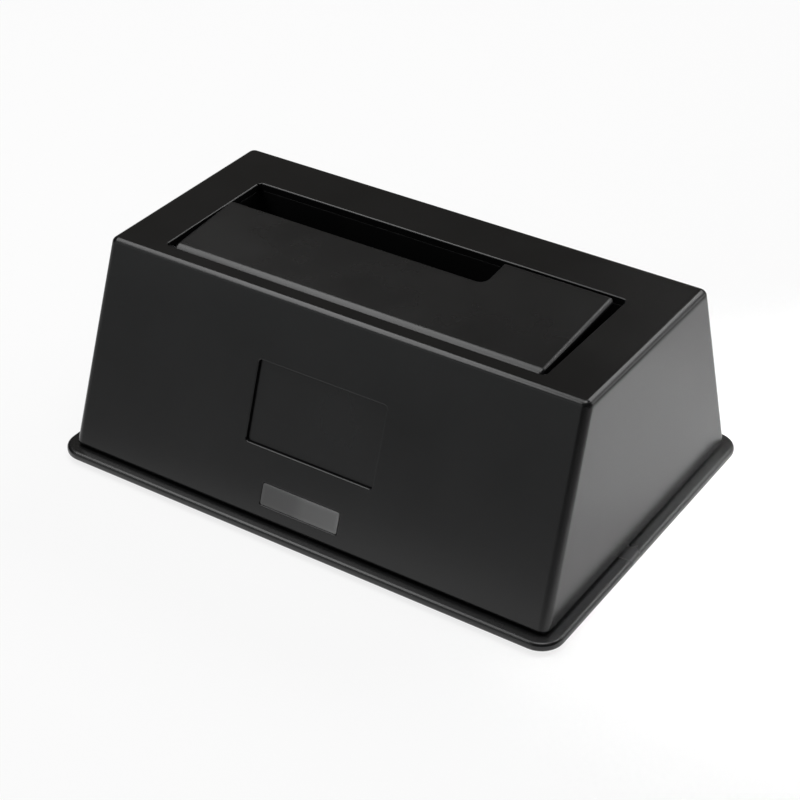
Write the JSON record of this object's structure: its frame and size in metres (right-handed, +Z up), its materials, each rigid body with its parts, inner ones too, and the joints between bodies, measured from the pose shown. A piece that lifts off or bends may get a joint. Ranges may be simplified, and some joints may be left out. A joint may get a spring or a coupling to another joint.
{
  "type": "hard drive docking station",
  "caption": "Tapered black desktop drive dock with a sprung L-shaped flap over an upright drive bay, a bare badge recess, a status window and rear data and power ports.",
  "frame": {"origin": "on the table under the middle of the base", "axes": "+Z up, the front wall faces -Y, +X to the right seen from the front"},
  "size_m": [0.1412, 0.0962, 0.0568],
  "materials": {
    "housing_plastic": "fine satin moulded texture",
    "base_plastic": "fine satin moulded texture",
    "well_plastic": "plain moulded",
    "flap_plastic": "fine satin moulded texture",
    "rod_steel": "drawn wire",
    "spring_steel": "spring wire",
    "badge_plastic": "bare satin plate",
    "window_plastic": "smoked translucent",
    "board_laminate": "solder mask",
    "socket_plastic": "moulded connector resin",
    "contact_gold": "thin gold plating",
    "port_steel": "bright tin plating",
    "tongue_blue": "moulded",
    "pin_nickel": "nickel plating",
    "button_plastic": "satin moulded",
    "chip_resin": "moulded resin",
    "can_aluminium": "drawn can",
    "lamp_resin": "clear resin",
    "screw_steel": "zinc plating",
    "foot_rubber": "matt moulded rubber"
  },
  "bodies": {
    "dock": {"upper_housing": "housing_plastic", "base_tray": "base_plastic", "drive_well": "well_plastic", "hinge_rod": "rod_steel", "flap_spring_left": "spring_steel", "flap_spring_right": "spring_steel", "badge_plate": "badge_plastic", "status_window": "window_plastic", "main_board": "board_laminate", "sata_socket": "socket_plastic", "sata_contacts": "contact_gold", "usb_shell": "port_steel", "usb_tongue": "tongue_blue", "usb_contacts": "contact_gold", "esata_shell": "port_steel", "esata_tongue": "socket_plastic", "esata_contacts": "contact_gold", "dc_jack_body": "socket_plastic", "dc_jack_pin": "pin_nickel", "dc_jack_contact": "pin_nickel", "power_switch": "socket_plastic", "bridge_chip": "chip_resin", "flash_chip": "chip_resin", "crystal": "port_steel", "power_inductors": "chip_resin", "capacitors": "can_aluminium", "regulators": "chip_resin", "status_leds": "lamp_resin", "housing_screws": "screw_steel", "board_screws": "screw_steel", "well_screws": "screw_steel", "rubber_feet": "foot_rubber"},
    "flap": {"bay_flap": "flap_plastic"},
    "button": {"power_button": "button_plastic"}
  },
  "joints": [
    {"name": "flap_hinge", "type": "hinge", "parent": "dock", "child": "flap", "pos_m": [0, -0.01975, 0.05169], "axis": [-1, 0, 0], "range_deg": [0, 90], "stiffness_Nm_per_rad": 0.004, "springref_deg": -28.65, "deforming": ["flap_spring_left", "flap_spring_right"]},
    {"name": "button_press", "type": "slide", "parent": "dock", "child": "button", "axis": [0, -1, 0], "range_m": [0, 0.0015], "stiffness_N_per_m": 400, "springref_m": -0.002}
  ]
}
